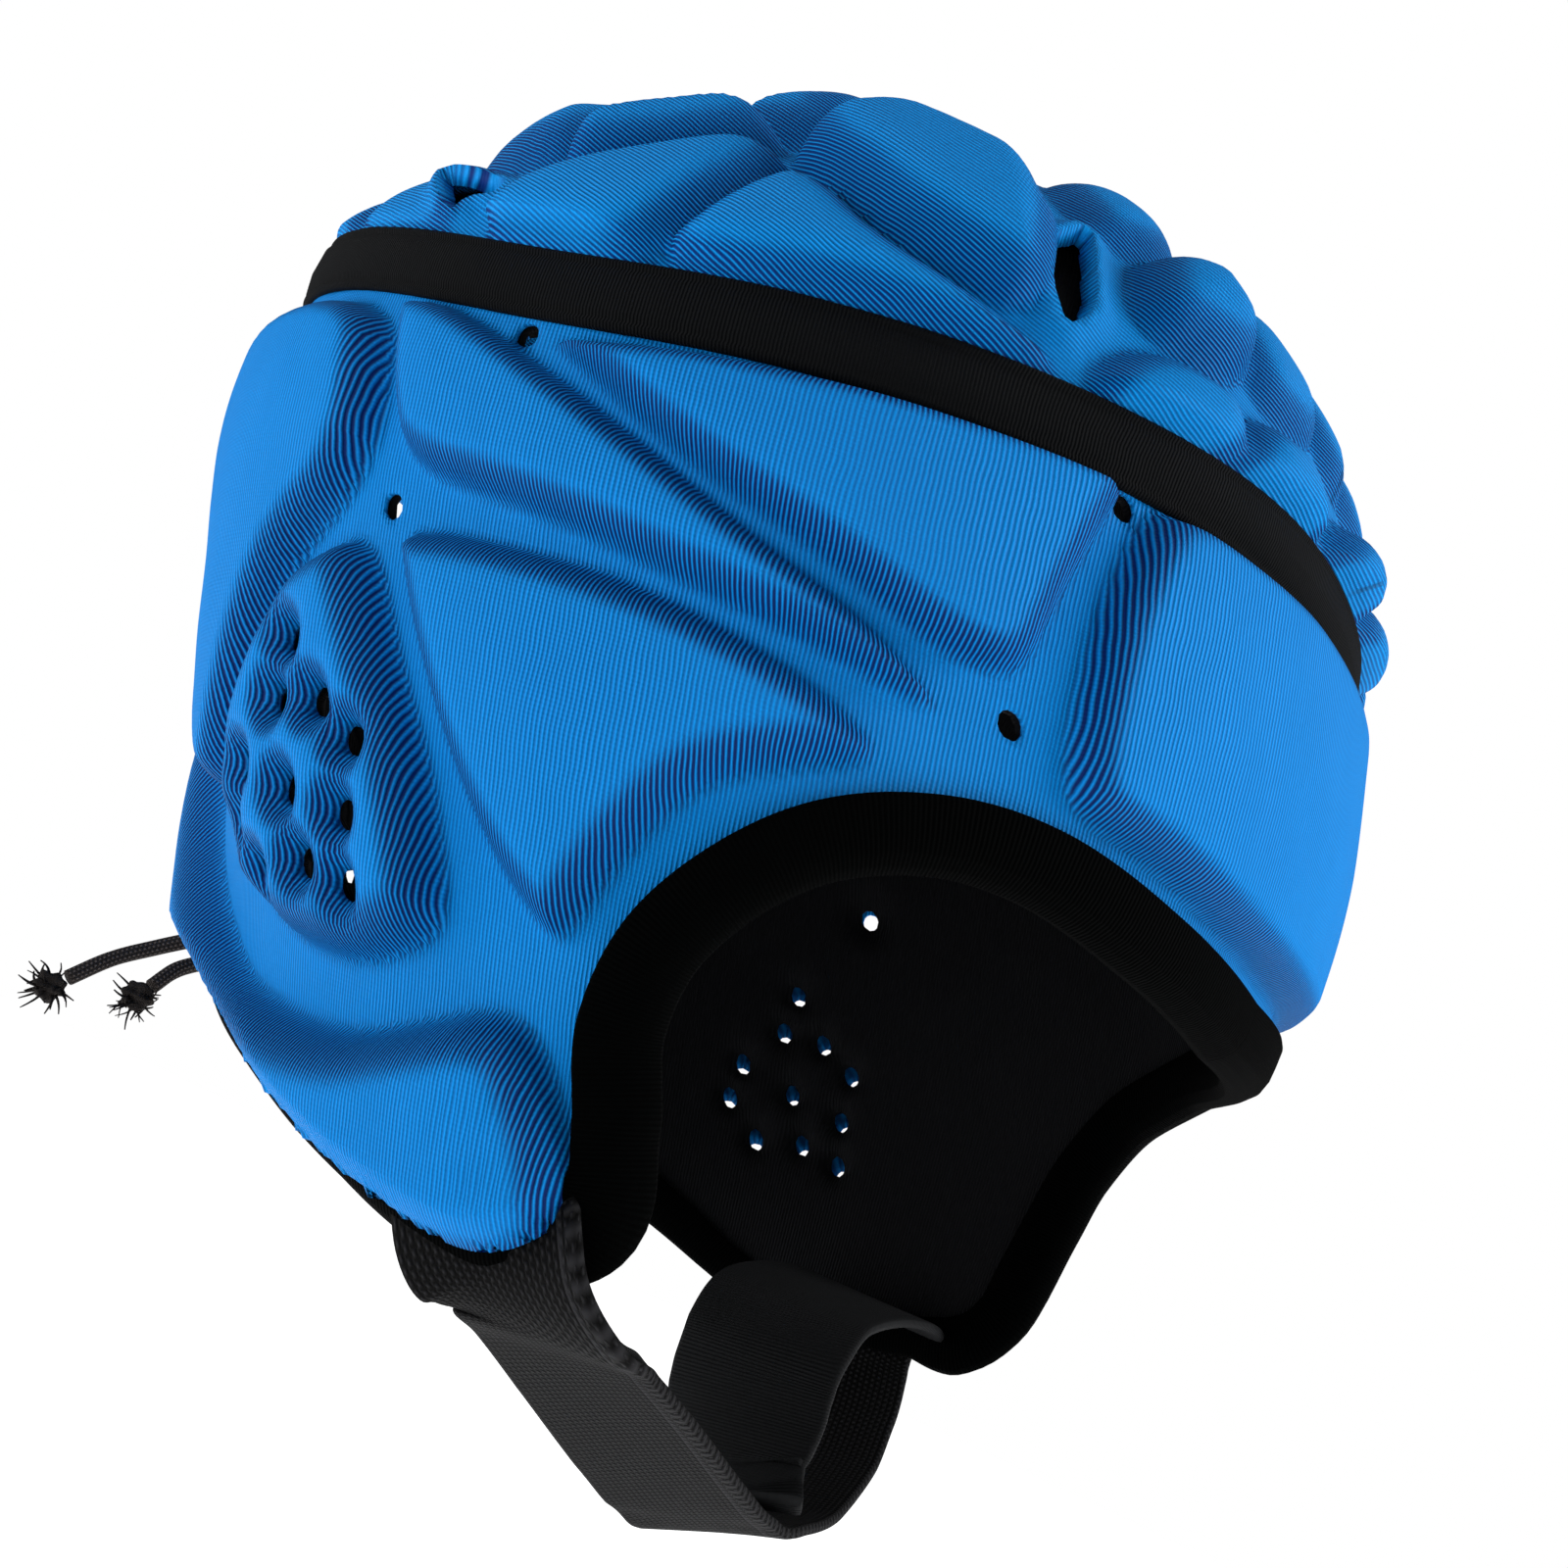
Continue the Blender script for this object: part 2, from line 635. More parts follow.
def fabric(name, roughness, sheen, sheen_colour, specular=.3):
    """Material with a principled shader, its tree and the flat map in millimetres."""
    material = bpy.data.materials.new(name)
    material.use_nodes = True
    tree = material.node_tree
    shader = tree.nodes["Principled BSDF"]
    shader.inputs["Roughness"].default_value = roughness
    shader.inputs["Sheen Weight"].default_value = sheen
    shader.inputs["Sheen Roughness"].default_value = .45
    shader.inputs["Sheen Tint"].default_value = linear(sheen_colour)
    shader.inputs["Specular IOR Level"].default_value = specular
    uv = add(tree.nodes, "ShaderNodeUVMap", uv_map="flat_map")
    split = add(tree.nodes, "ShaderNodeSeparateXYZ")
    tree.links.new(uv.outputs[0], split.inputs[0])
    across = calculate(tree, "MULTIPLY", split.outputs[0], 1000)
    up = calculate(tree, "MULTIPLY", split.outputs[1], 1000)
    return material, tree, shader, across, up


def bump(tree, shader, height, distance, strength=1.0):
    """Bump from a height socket; distance is in millimetres."""
    node = add(tree.nodes, "ShaderNodeBump")
    node.inputs["Strength"].default_value = strength
    node.inputs["Distance"].default_value = distance * .001
    tree.links.new(height, node.inputs["Height"])
    tree.links.new(node.outputs[0], shader.inputs["Normal"])


def wave(tree, socket, pitch, shift=0.0):
    """Sine of a length with a pitch in the same unit, from 0 to 1."""
    turns = calculate(tree, "MULTIPLY_ADD", socket, 2 * math.pi / pitch, shift)
    return calculate(tree, "MULTIPLY_ADD", calculate(tree, "SINE", turns), .5, .5)


def object_noise(tree, scale, detail=3.0):
    """Noise in object space; scale is in turns per metre."""
    place = add(tree.nodes, "ShaderNodeTexCoord")
    field = add(tree.nodes, "ShaderNodeTexNoise")
    field.inputs["Scale"].default_value = scale
    field.inputs["Detail"].default_value = detail
    tree.links.new(place.outputs["Object"], field.inputs["Vector"])
    return field.outputs["Fac"]


def blue_knit(name, lit, middle, crease):
    """Ribbed polyester knit, darker between the ribs of a stretched flank."""
    material, tree, shader, across, up = fabric(name, .6, .02, "4fa4ff", .07)
    ribs = add(tree.nodes, "ShaderNodeAttribute", attribute_name="ribs").outputs["Fac"]
    wobble = calculate(tree, "MULTIPLY", object_noise(tree, 60, 2), 1.6)
    rib = wave(tree, calculate(tree, "ADD", across, wobble), RIB_PITCH)
    loops = wave(tree, up, .62)
    depth = calculate(tree, "MULTIPLY", calculate(tree, "SUBTRACT", 1.0, rib), ribs)
    patch = object_noise(tree, 26, 3)
    base = blend_colour(tree, calculate(tree, "MULTIPLY", patch, .8), linear(lit),
                        linear(middle))
    dark = calculate(tree, "MINIMUM", calculate(tree, "MULTIPLY_ADD", ribs, .3,
                                                calculate(tree, "MULTIPLY", depth, 1.0)), 1.0)
    colour = blend_colour(tree, dark, base, linear(crease))
    tree.links.new(colour, shader.inputs["Base Color"])
    weight = calculate(tree, "MULTIPLY_ADD", ribs, .8, .2)
    high = calculate(tree, "MULTIPLY", rib, weight)
    height = calculate(tree, "MULTIPLY_ADD", loops, .12, high)
    bump(tree, shader, height, .36)
    return material


def black_knit(name, code, light, pitch, stitch_rows=(), roughness=.85, shine=.12):
    """Matt black knit with fine ribs and faint lengthwise stitch lines."""
    material, tree, shader, along_it, girth = fabric(name, roughness, shine * .3, "8a8d94",
                                                     shine)
    rib = wave(tree, along_it, pitch)
    fuzz = object_noise(tree, 900, 2)
    height = calculate(tree, "MULTIPLY_ADD", fuzz, .6, rib)
    colour = blend_colour(tree, calculate(tree, "MULTIPLY", height, .45), linear(code),
                          linear(light))
    for row in stitch_rows:
        away = calculate(tree, "ABSOLUTE", calculate(tree, "SUBTRACT", girth, row))
        line = calculate(tree, "LESS_THAN", away, .28)
        height = calculate(tree, "SUBTRACT", height, calculate(tree, "MULTIPLY", line, 2.2))
    tree.links.new(colour, shader.inputs["Base Color"])
    bump(tree, shader, height, .18)
    return material


def woven(name, code, light, warp, weft, distance=.35, ridge=0):
    """Coarse webbing: bead-like weave in offset rows."""
    material, tree, shader, along_it, girth = fabric(name, .8, .01, "8a8d94", .07)
    rows = wave(tree, girth, weft)
    shifted = calculate(tree, "MULTIPLY_ADD", calculate(tree, "ROUND", calculate(
        tree, "DIVIDE", girth, weft)), warp / 2, along_it)
    beads = wave(tree, shifted, warp)
    height = calculate(tree, "MULTIPLY", rows, beads)
    if ridge:
        away = calculate(tree, "ABSOLUTE", calculate(tree, "SUBTRACT", girth, ridge))
        line = calculate(tree, "LESS_THAN", away, .5)
        height = calculate(tree, "ADD", height, calculate(tree, "MULTIPLY", line, 1.2))
        hem = calculate(tree, "LESS_THAN", calculate(tree, "ABSOLUTE", calculate(
            tree, "SUBTRACT", girth, ridge - 2.6)), 1.6)
        teeth = calculate(tree, "MULTIPLY", hem, wave(tree, along_it, 2.1))
        height = calculate(tree, "MAXIMUM", height, teeth)
    colour = blend_colour(tree, height, linear(code), linear(light))
    tree.links.new(colour, shader.inputs["Base Color"])
    bump(tree, shader, height, distance)
    return material


# The band lies flat under its tape, and the crown, which faces less light, is a shade lighter.
# Binding and tape swallow nearly all light. The webbing's beads are 1.3 by 1.15 mm.
BAND_BLUE = blue_knit("blue_band_knit", "0494ec", "0484d8", "021f58")
CROWN_BLUE = blue_knit("blue_crown_knit", "08a0f6", "0690e2", "032a6c")
BINDING_BLACK = black_knit("black_stretch_binding", "000000", "010202", .7, (3.2,), .95, .02)
TAPE_BLACK = black_knit("black_woven_tape", "020304", "090a0c", .6, (1.6, 10.6), .9, .08)
LINING_BLACK = black_knit("black_lining_knit", "07080a", "101114", .8)
WEBBING_BLACK = woven("black_elastic_webbing", "000000", "1e1e20", 1.3, 1.15, .5, 34.8)
LOOP_BLACK = black_knit("black_loop_strap", "090a0b", "161719", .6)
CORD_GREY = woven("charcoal_braided_cord", "1c1918", "5a5350", .9, .8, .2)


# %% [markdown]
# ## Camera
# The camera stands in front of the cap's right side, a little below its middle, and looks
# slightly up. It could be aimed with a constraint, but its three axes are given instead, so
# that the horizon keeps its small tilt.

# %% Camera
CAMERA_PLACE = (-322.1, -206.6, -130.0)
CAMERA_RIGHT = (0.4149, -0.8108, 0.4128)
CAMERA_DOWN = (0.3875, -0.2531, -0.8865)
CAMERA_AHEAD = (0.8233, 0.5277, 0.2092)


def make_camera():
    """Camera with the photograph's place, turn and lens."""
    lens = bpy.data.cameras.new("camera")
    lens.lens = 49.5
    lens.sensor_width = 36
    lens.clip_start = 0.01
    camera = bpy.data.objects.new("camera", lens)
    bpy.context.scene.collection.objects.link(camera)
    place = metres([CAMERA_PLACE])[0]
    axes = [Vector(CAMERA_RIGHT), -Vector(CAMERA_DOWN), -Vector(CAMERA_AHEAD)]
    turn = Matrix((axes[0], axes[1], axes[2])).transposed().to_4x4()
    camera.matrix_world = Matrix.Translation(Vector(place)) @ turn
    bpy.context.scene.camera = camera


make_camera()

# %% [markdown]
# ## The lower edge
# One closed curve bounds the face opening and the lower edge. A boolean cut could trim the
# band, but it would leave slivers along so slanted an edge. Instead the grid loses the faces
# past the curve, the rim left behind is moved onto it, and the binding is swept along it.

# %% Lower edge
def edge_places(count):
    """Evenly spaced azimuths and heights round the whole lower edge."""
    right = [(row[0] * ARC, -row[1] * BAND_DEPTH) for row in EDGE]
    left = [((360 - row[2]) * ARC, -row[3] * BAND_DEPTH) for row in EDGE[1:-1]][::-1]
    start = np.array(right + left) / [ARC, 1]
    points = valley(start[:, 0], start[:, 1])
    joined = np.concatenate([points, start], 1)
    joined = np.concatenate([joined, joined[:1] + np.array([0, 0, 0, 360, 0])])
    dense = smooth_curve(joined, 1200)
    run = run_of(dense[:, :3])
    wanted = np.linspace(0, run[-1], count, endpoint=False)
    return np.stack([np.interp(wanted, run, dense[:, 3]),
                     np.interp(wanted, run, dense[:, 4])], -1)


EDGE_RUN = edge_places(1400)
print("Lowest point of the edge:", round(EDGE_RUN[:, 1].min(), 1), "mm")


def below_edge(points):
    """Distance past the lower edge of points on the flat map, negative above it."""
    loop = np.concatenate([EDGE_RUN, [[360, EDGE_RUN[0, 1]]]]) * [ARC, 1]
    ring = np.concatenate([loop, [[360 * ARC, -900], [0, -900]]])
    turned = np.asarray(points, float).copy()
    turned[:, 0] = (turned[:, 0] / ARC % 360) * ARC
    best = np.full(len(turned), np.inf)
    for spot in loop[::4]:
        best = np.minimum(best, np.hypot(turned[:, 0] - spot[0], turned[:, 1] - spot[1]))
    return np.where(within(ring, turned), best, -best)


# %% [markdown]
# ## Padded band
# A fine grid takes the relief of the pads and the craters round the punched ear holes. Faces
# past the lower edge, in the back slit and in the holes are taken out, and the rims left
# behind are moved onto the exact edge. Solidify then gives the skin its foam wall, thin at
# the vents, where the mould presses it flat and daylight shows through.

# %% Padded band
def centres(places, faces):
    """Middle of each face on the flat map, also where the map wraps round."""
    corners = places[faces]
    first = corners[:, :1, 0]
    corners[..., 0] = first + wrapped((corners[..., 0] - first) / ARC) * ARC
    return corners.mean(1)


def cut_grid(faces, gone):
    """Faces that stay when the marked ones go, and the corners on the rim between them."""
    return faces[~gone], np.intersect1d(faces[gone], faces[~gone])


def punch(places, faces, holes, radius):
    """Takes out the faces in round holes and moves the rims onto the circles."""
    for azimuth, depth in [(side * a, d) for a, d in holes for side in (1, -1)]:
        centre = band_place(azimuth, depth)
        far = np.linalg.norm(centres(places, faces) - centre, axis=1)
        faces, rim = cut_grid(faces, far < radius * .95)
        places[rim] = to_circle(places[rim], centre, radius)
    return faces


def cut_slit(places, faces, more=0):
    """Takes out the slit behind and moves the rim onto its edges."""
    middle = centres(places, faces)
    behind = np.abs(wrapped(middle[:, 0] / ARC - 180)) * ARC
    faces, rim = cut_grid(faces, behind < slit_half_width(middle[:, 1]) + more)
    turn = wrapped(places[rim, 0] / ARC - 180)
    edge = (np.maximum(slit_half_width(places[rim, 1]), SLIT_HALF[0]) + more) / ARC
    near_side = np.abs(turn) > edge * .6
    moved = (180 + np.where(turn < 0, -edge, edge)) * ARC
    places[rim, 0] = np.where(near_side, moved, places[rim, 0])
    places[rim, 1] = np.where(near_side, places[rim, 1], -SLIT_TOP)
    return faces


def slit_half_width(height):
    """Half width of the slit behind, in millimetres."""
    t = np.clip((-height - SLIT_TOP) / (BAND_DEPTH - SLIT_TOP), 0, 1)
    wide = SLIT_HALF[0] + (SLIT_HALF[1] - SLIT_HALF[0]) * t
    return np.where(height < -SLIT_TOP, wide, -9)


def to_circle(places, centre, radius):
    """Moves places on the flat map onto a circle."""
    away = places - centre
    return centre + away / np.linalg.norm(away, axis=1, keepdims=True) * radius


def compact(points, faces, *extras):
    """Drops unused points."""
    used = np.unique(faces)
    index = np.full(len(points), -1)
    index[used] = np.arange(len(used))
    return (points[used], index[faces], *[e[used] for e in extras])


def wall_grid(columns, rows, low):
    """Azimuth and height of a grid from below the edge up to the middle of the seam."""
    azimuth = np.tile(np.arange(columns) * 360 / columns, rows)
    share = np.repeat(np.linspace(0, 1, rows), columns)
    return azimuth, low + (seam_height(azimuth) - low) * share


def cut_edge(places, faces):
    """Takes out the faces past the lower edge and moves the rim onto the edge."""
    faces, rim = cut_grid(faces, below_edge(centres(places, faces)) > 0)
    loop = EDGE_RUN.copy()
    loop[:, 0] = wrapped(loop[:, 0])
    loop = loop * [ARC, 1]
    for i in rim:
        nearest = np.argmin(np.hypot(loop[:, 0] - places[i, 0], loop[:, 1] - places[i, 1]))
        places[i] = loop[nearest]
    return faces


def build_band():
    """The padded blue wall, open at its lower edge and behind."""
    columns = 500
    rows = 124
    azimuth, height = wall_grid(columns, rows, -148)
    faces = grid_faces(rows, columns, True)
    places = np.stack([wrapped(azimuth) * ARC, height], -1)
    faces = cut_edge(places, faces)
    faces = punch(places, faces, VENTS + EAR_HOLES, HOLE_RADIUS)
    faces = cut_slit(places, faces)
    turn, high = places[:, 0] / ARC, places[:, 1]
    out, ribs = band_relief(turn, high)
    out = out + jaw_wrinkles(turn, high)
    near_edge = np.clip(-below_edge(places) / 5, 0, 1)
    out = out * (0.35 + 0.65 * near_edge ** .6)
    points = raised(turn, high, out)
    flat = np.stack([turn * ARC, high], -1)
    points, faces, flat, ribs = compact(points, faces, flat, ribs)
    band = new_object("side_band_padding", points, faces, flat, ribs)
    thicken(band, WALL - .6, 1 - .8 * near_holes(flat, VENTS, 6))
    finish_piece(band, BAND_BLUE, "side_band")
    return band


def near_holes(places, holes, reach):
    """How near each place on the flat map is to a hole, where the wall is pressed flat."""
    near = np.zeros(len(places))
    for azimuth, depth in holes:
        for side in (1, -1):
            far = np.linalg.norm(places - band_place(side * azimuth, depth), axis=1)
            near = np.maximum(near, np.exp(-(far / reach) ** 4))
    return near


def thicken(thing, thickness, shares=None):
    """Gives a skin its thickness towards the inside, applied to the mesh."""
    solid = thing.modifiers.new("thickness", "SOLIDIFY")
    solid.thickness = thickness * .001
    solid.offset = -1
    if shares is not None:
        group = thing.vertex_groups.new(name="wall")
        for index in np.flatnonzero(shares < .99):
            group.add([int(index)], float(shares[index]), "REPLACE")
        group.add([int(i) for i in np.flatnonzero(shares >= .99)], 1.0, "REPLACE")
        solid.vertex_group = "wall"
    bpy.context.view_layer.objects.active = thing
    bpy.ops.object.modifier_apply(modifier=solid.name)


build_band()

# %% [markdown]
# ## Padded crown
# The crown is the same kind of grid in polar form, closed by a fan at the apex. Its ribs run
# level round the tilted dome, not up it, as they do on the band. The notches between its
# petals are cut through, so the black lining shows in them, and their rims stand up a
# little, as cut foam does.

# %% Padded crown
def drop_loose(thing):
    """Removes points without faces."""
    mesh = bmesh.new()
    mesh.from_mesh(thing.data)
    loose = [v for v in mesh.verts if not v.link_faces]
    bmesh.ops.delete(mesh, geom=loose, context="VERTS")
    mesh.to_mesh(thing.data)
    mesh.free()


def domed_skin(name, points, faces, columns, flat, ribs=None):
    """Skin of a polar grid, closed at the apex by a fan of triangles."""
    top = len(points)
    last = top - columns
    points = np.concatenate([points, points[last:].mean(0)[None]])
    flat = np.concatenate([flat, flat[-1:]])
    if ribs is not None:
        ribs = np.concatenate([ribs, [.5]])
    fan = [(last + i, top, last + (i + 1) % columns) for i in range(columns)]
    skin = new_object(name, points, [tuple(f) for f in faces] + fan, flat, ribs)
    drop_loose(skin)
    return skin


def notch_outlines(notches):
    """Flat outlines of the notches on both sides."""
    return [rounded(dome_place(*(np.array(notch) * [side, 1]).T), 1)
            for notch in notches for side in (1, -1)]


def cut_notches(places, faces, notches):
    """Takes out the faces in the notches and moves the rims onto their outlines."""
    for outline in notch_outlines(notches):
        distance = inside(outline, places[faces].mean(1))
        faces, rim = cut_grid(faces, distance > 0)
        places[rim] = nearest_on(outline, places[rim])[0]
    return faces


def build_crown():
    """The lobed crown with its open notches."""
    columns = 440
    rows = 100
    azimuth = np.tile(np.arange(columns) * 360 / columns, rows)
    share = np.repeat(np.linspace(0, 1, rows) ** .9, columns)
    base = map_angle(seam_height(azimuth))
    angle = base + (89.3 - base) * share
    height = np.where(angle > 0, dome_height(angle), angle * DOME_ARC / 90)
    faces = grid_faces(rows, columns, True)
    places = dome_place(azimuth, angle)
    faces = cut_notches(places, faces, NOTCHES + [REAR_NOTCH])
    azimuth, angle = from_dome(places)
    height = np.where(angle > 0, dome_height(angle), angle * DOME_ARC / 90)
    out, ribs = crown_relief(azimuth, height)
    for outline in notch_outlines(NOTCHES):
        distance = inside(outline, places)
        out = out + 2.6 * np.exp(-(distance / 3.2) ** 2)
    points = raised(azimuth, height, out)
    tilt = math.radians(RIB_TILT)
    drape = points[:, 2] * math.cos(tilt) - points[:, 1] * math.sin(tilt)
    flat = np.stack([drape * 1.25, azimuth * ARC], -1)
    crown = domed_skin("crown_padding", points, faces, columns, flat, ribs)
    thicken(crown, WALL - .6)
    finish_piece(crown, CROWN_BLUE, "crown_dome")
    return crown


build_crown()

# %% [markdown]
# ## Lining
# The lining is a thin black knit that follows the inside of the foam, with the same punched
# holes. It could be the band's own back face, but the real one is a layer of its own, hangs
# a little free of the pads, and shows black in the face opening.

# %% Lining
def build_lining():
    """Thin black skin inside band and crown."""
    columns, rows = 300, 126
    azimuth = np.tile(np.arange(columns) * 360 / columns, rows)
    heights = np.concatenate([np.linspace(-147, 0, 86),
                              dome_height(np.linspace(1.5, 88.5, rows - 86))])
    height = np.repeat(heights, columns)
    faces = grid_faces(rows, columns, True)
    places = np.stack([wrapped(azimuth) * ARC, height], -1)
    faces = cut_edge(places, faces)
    faces = punch(places, faces, EAR_HOLES + VENTS, HOLE_RADIUS + .5)
    faces = cut_slit(places, faces, .8)
    crown_places = dome_place(azimuth, dome_angle(height))
    for outline in notch_outlines([REAR_NOTCH]):
        distance = inside(outline, crown_places[faces].mean(1))
        faces = faces[(distance < -4) | (centres(places, faces)[:, 1] < 0)]
    turn = np.where(height < 0, places[:, 0] / ARC, azimuth)
    out = np.full(len(turn), float(LINING_OUT))
    out += 0.35 * noise(turn, height, 14, 5)
    out += 3.2 * near_holes(places, VENTS, 6) * (height < 0)
    out += 2.4 * near_holes(places, EAR_HOLES, 4) * (height < 0)
    points = raised(turn, places[:, 1], out)
    flat = np.stack([azimuth * ARC, height], -1)
    lining = domed_skin("lining_skin", points, faces, columns, flat)
    thicken(lining, LINING_THICK)
    finish_piece(lining, LINING_BLACK, "lining")
    return lining


build_lining()

# %% [markdown]
# ## Binding and tape
# Both are swept sections with a soft, rounded profile, as folded fabric has. A curve with a
# bevel object would do for the tape, but the binding's foot turns in where the chin strap
# crosses it and its end hangs down as a lobe at the flap's corner, so its section changes
# along the way and the rings are placed one by one.

# %% Binding
def edge_frames(count):
    """Points, outward directions and directions into the wall along the lower edge."""
    places = edge_places(count)
    points = valley(places[:, 0], places[:, 1])
    out = outward(places[:, 0], places[:, 1])
    run = tangents(points, True)
    into = unit(np.cross(run, out))
    return points, out, into


def build_binding():
    """Black binding folded round the lower edge."""
    points, out, into = edge_frames(560)
    side = points[:, 0] > 0
    start = np.where(side, .74, .8)
    low = np.clip((-points[:, 2] / BAND_DEPTH - start) / .12, 0, 1)
    low = low * np.clip((points[:, 1] + 62) / 10, 0, 1)
    crossed = low * np.clip((points[:, 1] + np.where(side, 42, 48)) / 8, 0, 1)
    foot = -.6 - BINDING_WIDTH * (1 - .42 * crossed)
    proud = 2.4 - .9 * low
    rings = []
    lobe = 1.3 + 6 * np.exp(-(np.linalg.norm(points - BINDING_LOBE, axis=1) / 8) ** 4)
    for point, o, i, f, p, l, e in zip(points, out, into, foot, proud, low, lobe):
        ring = [(e + .1, .6), (e - .1, p), (e * .5 - .3, p + .35), (f * .25, p + .1 - .4 * l),
                (f * .5, p * .9 - 1.2 * l), (f * .72, p * .55 - 2.2 * l),
                (f * .9, -.6 - 2.4 * l), (f, -2.6 - 1.4 * l), (f * .97, -4.4 - .6 * l),
                (f * .8, -5.9), (f * .5, -6.6), (f * .2, -6.7), (e - .1, -6.6), (e + .1, -5.2)]
        rings.append([point + i * a + o * b for a, b in ring])
    binding = sweep("edge_binding_roll", rings, True)
    finish_piece(binding, BINDING_BLACK, "edge_binding")
    return binding


build_binding()


# %% Tape
def build_tape():
    """Black tape over the seam between band and crown."""
    azimuth = np.arange(480) * 360 / 480
    middle = seam_height(azimuth) + .25 * np.sin(np.radians(azimuth * 7))
    half = TAPE_WIDTH / 2
    profile = [(-half, .1), (-half, 1.0), (-half + .8, 1.6), (-half + 1.6, 1.25),
               (-half + 2.6, 1.7), (0, 1.95), (half - 2.6, 1.7), (half - 1.6, 1.25),
               (half - .8, 1.6), (half, 1.0), (half, .1), (0, .2)]
    rings = np.stack([raised(azimuth, middle + a, np.full(480, b)) for a, b in profile], 1)
    tape = sweep("top_tape_band", rings, True)
    finish_piece(tape, TAPE_BLACK, "top_tape")
    return tape


build_tape()

# %% [markdown]
# ## Chin strap
# The webbing is sewn inside the right flap, hangs in a loop under the chin and climbs to the
# left flap; the soft strap lies on it and climbs inside that flap. Both are flat sections
# along a smooth route, turned so that the front edge hangs higher than the rear one. Straps
# this narrow are modelled directly, because a simulation would have to remesh them away.

# %% Chin strap
STRAP_ROUTE = [(-74, -30.5, -128), (-75, -33, -136), (-73, -39.8, -143.5),
               (-66, -43.5, -148), (-55.3, -42.4, -150.2), (-37.7, -41.9, -155.4),
               (-12.9, -41.4, -163.2), (2.6, -41, -167.4), (16.2, -40.1, -168.8),
               (41.3, -34, -165.7), (61.9, -27.3, -156.6),
               (71.6, -22.8, -147.4), (77.4, -19, -139), (79.2, -17.5, -133)]
SOFT_ROUTE = [(6, -40, -163.9), (14, -37, -165), (21.5, -34, -161), (23.3, -32.5, -153.5),
              (23, -31, -145), (24.5, -30, -138), (32, -28, -131), (47.5, -26, -126.7),
              (63, -25.5, -124.7), (71.5, -24.5, -125.5)]
STRAP_SPAN = 75
SOFT_FREE = 148
PATCH_SPAN = slice(28, 106)
PATCH_WIDTH = 24


def strap_across(points, lift=1.0):
    """Direction of the strap's width: its front edge hangs higher than its rear edge."""
    middle = np.clip(1 - (points[:, 0] / STRAP_SPAN) ** 2, 0, 1) * .3
    return unit(np.stack([-middle * lift, np.full(len(middle), -.95),
                          (middle + .06) * lift], 1))


def strap_frames(route, count, free=None):
    """Points, width directions and inward directions along a strap."""
    points = smooth_curve(route, count)
    run = tangents(points)
    lift = 1.0 if free is None else np.clip((-points[:, 2] - free) / 12, .1, 1)
    across = strap_across(points, lift)
    across = unit(across - run * (across * run).sum(1, keepdims=True))
    return points, across, unit(np.cross(across, run))


def strap_rings(points, across, inward, width, thick, edge=.55):
    """Rounded flat section at each point."""
    w, t = width / 2, thick / 2
    profile = [(-w, 0), (-w + edge * .3, t * .8), (-w + edge * 2, t), (-w / 2, t * .96),
               (0, t * .95), (w / 2, t * .96), (w - edge * 2, t), (w - edge * .3, t * .8),
               (w, 0), (w - edge * .3, -t * .8), (w - edge * 2, -t), (w / 2, -t),
               (0, -t), (-w / 2, -t), (-w + edge * 2, -t), (-w + edge * .3, -t * .8)]
    return np.stack([points + across * a + inward * b for a, b in profile], 1)


def build_webbing():
    """Woven elastic strap from flap to flap."""
    points, across, inward = strap_frames(STRAP_ROUTE, 260)
    rings = strap_rings(points, across, inward, STRAP_WIDTH, STRAP_THICK)
    webbing = sweep("chin_strap_elastic", rings, False)
    finish_piece(webbing, WEBBING_BLACK, "chin_strap_webbing")
    return webbing


def build_soft():
    """Loop-faced strap inside the webbing, up inside the left flap."""
    points, across, inward = strap_frames(SOFT_ROUTE, 160, SOFT_FREE)
    rings = strap_rings(points, across, inward, SOFT_WIDTH, SOFT_THICK)
    soft = sweep("chin_strap_loop", rings, False)
    finish_piece(soft, LOOP_BLACK, "chin_strap_soft")
    return soft


def build_patch():
    """Hook patch sewn inside the webbing."""
    points, across, inward = strap_frames(STRAP_ROUTE, 240)
    points = points + inward * (STRAP_THICK / 2 + .9)
    rings = strap_rings(points[PATCH_SPAN], across[PATCH_SPAN], inward[PATCH_SPAN],
                        PATCH_WIDTH, .9)
    patch = sweep("strap_hook_patch", rings, False)
    finish_piece(patch, LOOP_BLACK, "strap_patch")
    return patch


build_webbing()
build_soft()
build_patch()

# %% [markdown]
# ## Lacing
# One cord zigzags over the slit behind, and its two ends hang out in frayed knots. The ends
# are declared as cords with their real length. A knot is a lumpy ball with a spray of loose
# threads; a hair system could make the threads, but a few dozen tapering ones in the same
# mesh look alike, are cheap and come out the same each time, because the draws are seeded.

# %% Lacing
LACE_UPPER = [(-7, 83, -101), (-11, 88, -108), (-17, 93, -115), (-23, 97.5, -121),
              (-29, 100.5, -126.5), (-35, 102, -133)]
LACE_LOWER = [(-3, 82, -109), (-7, 86, -113), (-12, 89, -116.5), (-17, 91, -120),
              (-22, 91.5, -123.5), (-26, 91, -128)]


def tube(name, route, radius, sides=12, flat=1.0, count=90):
    """Round or flattened cord along a smooth route."""
    points = smooth_curve(route, count)
    run = tangents(points)
    side = unit(np.cross(run, np.array([0, 0, 1.0])) + 1e-6)
    up = unit(np.cross(side, run))
    turn = np.arange(sides) / sides * 2 * math.pi
    rings = np.stack([points + side * radius * flat * math.cos(t) + up * radius *
                      math.sin(t) for t in turn], 1)
    return sweep(name, rings, False), points


